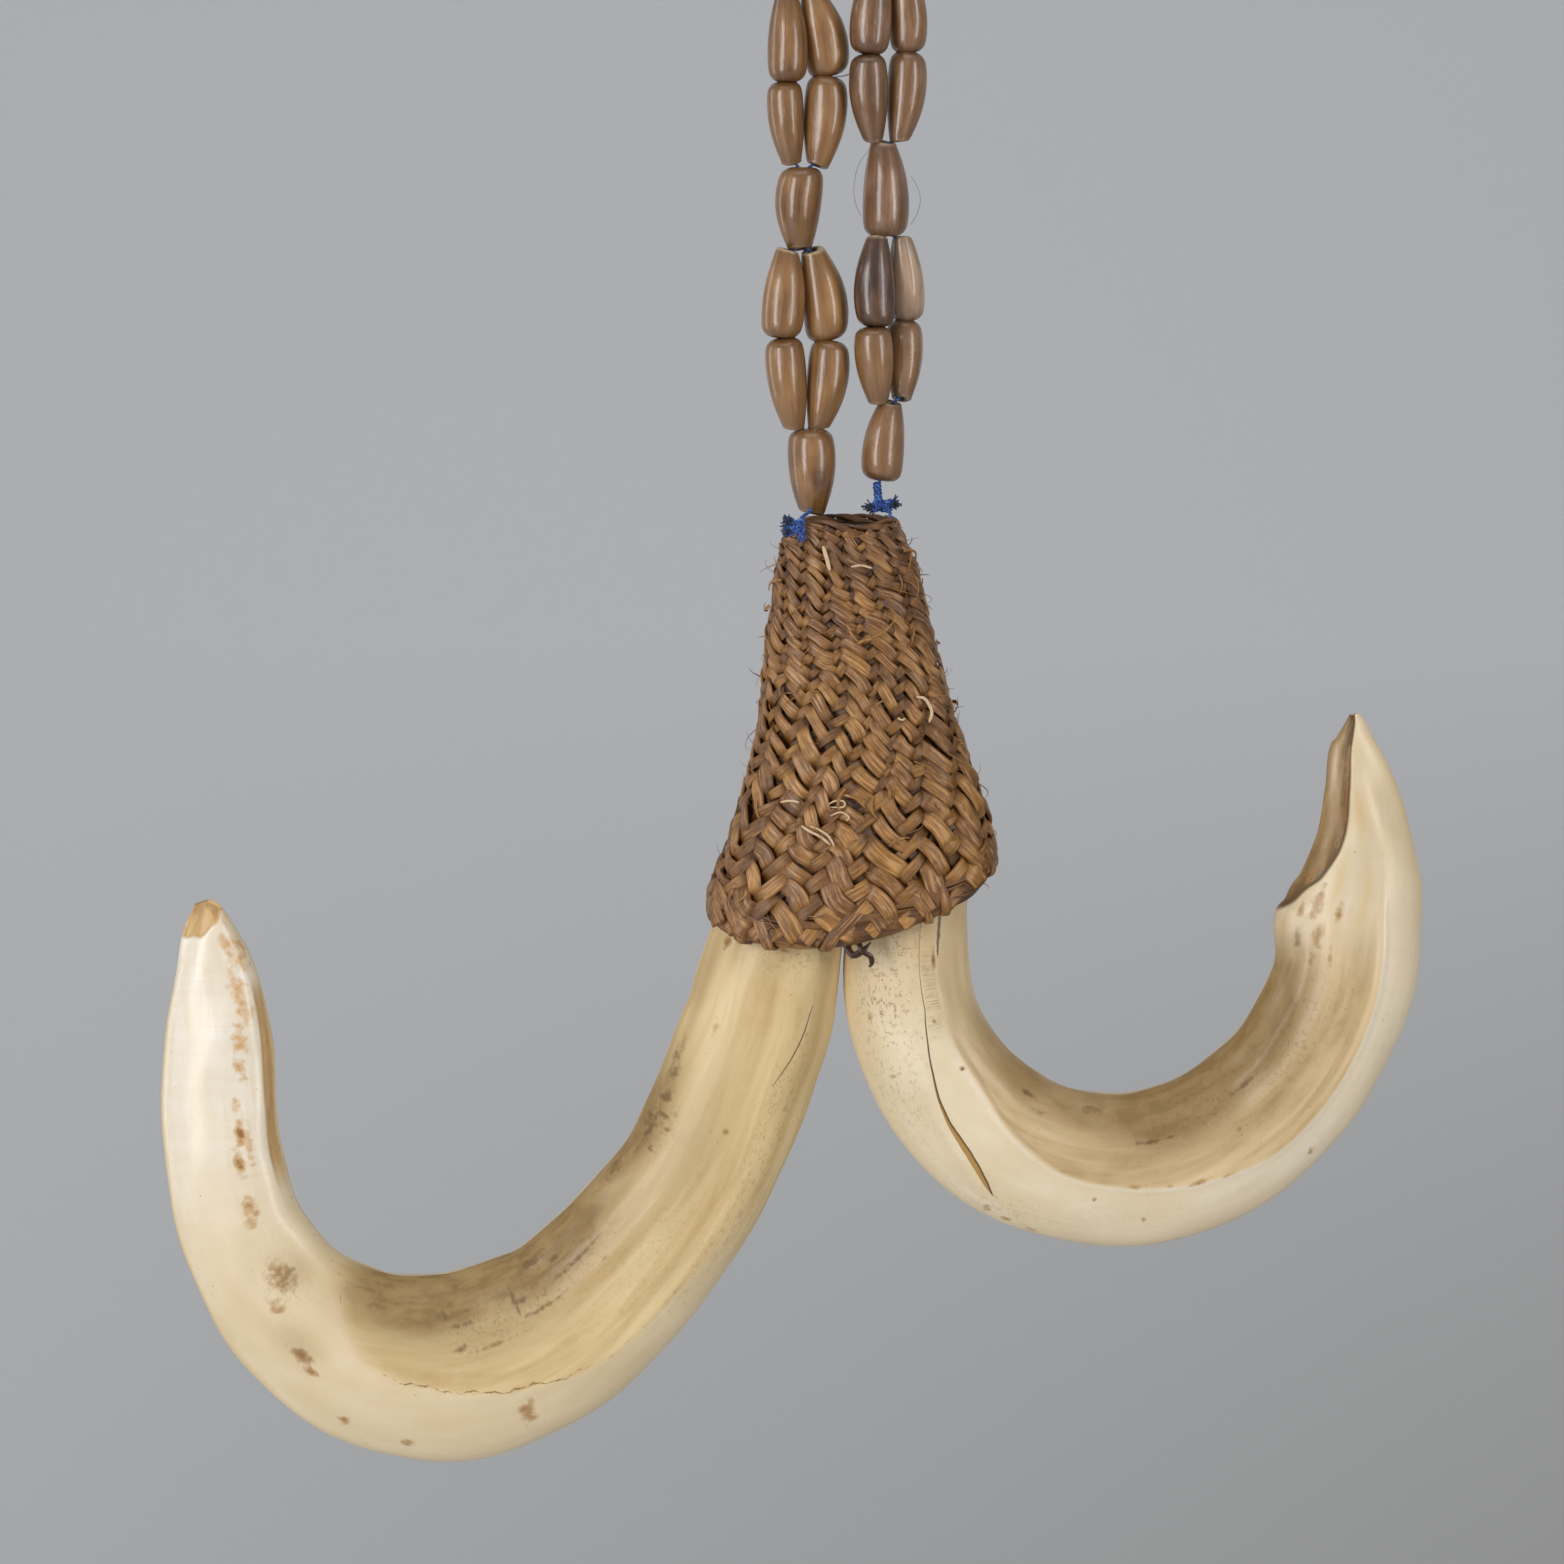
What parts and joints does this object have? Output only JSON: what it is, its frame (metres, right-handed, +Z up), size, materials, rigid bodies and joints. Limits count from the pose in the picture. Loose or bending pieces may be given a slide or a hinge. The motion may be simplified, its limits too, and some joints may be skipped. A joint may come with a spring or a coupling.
{
  "type": "boar tusk ornament",
  "caption": "Hanging ornament: curled boar tusks held in a plaited fibre sleeve under strands of seed beads.",
  "frame": {"origin": "inside top of the hanging loop, the point that the ornament hangs by", "axes": "+Z up, along the strands; +X to the viewer's right, across the two curls; +Y away from the viewer"},
  "size_m": [0.1806, 0.0262, 0.2434],
  "materials": {
    "left_ivory": "polished tusk, white enamel near the tip, stained dentine on the inside of the curl",
    "right_ivory": "polished tusk, cream enamel band outside, darker dentine inside, an open crack",
    "plaited_fibre": "dry plaited plant fibre, slightly waxy",
    "blue_thread": "twisted synthetic thread",
    "golden_seed": "glossy golden-brown seed",
    "grey_seed": "glossy greyish-brown seed"
  },
  "bodies": {
    "root": {"tusk_left": "left_ivory", "tusk_right": "right_ivory", "plaited_sleeve": "plaited_fibre", "thread_left": "blue_thread", "thread_right": "blue_thread", "hanging_loop": "blue_thread", "bead_left_1": "golden_seed", "bead_left_2a": "golden_seed", "bead_left_2b": "golden_seed", "bead_left_3a": "golden_seed", "bead_left_3b": "golden_seed", "bead_left_4": "golden_seed", "bead_left_5a": "golden_seed", "bead_left_5b": "golden_seed", "bead_left_6a": "golden_seed", "bead_left_6b": "golden_seed", "bead_left_7": "golden_seed", "bead_right_1": "grey_seed", "bead_right_2a": "grey_seed", "bead_right_2b": "grey_seed", "bead_right_3a": "grey_seed", "bead_right_3b": "grey_seed", "bead_right_4": "grey_seed", "bead_right_5a": "grey_seed", "bead_right_5b": "grey_seed", "bead_right_6a": "grey_seed", "bead_right_6b": "grey_seed", "bead_right_7": "grey_seed"}
  },
  "joints": []
}
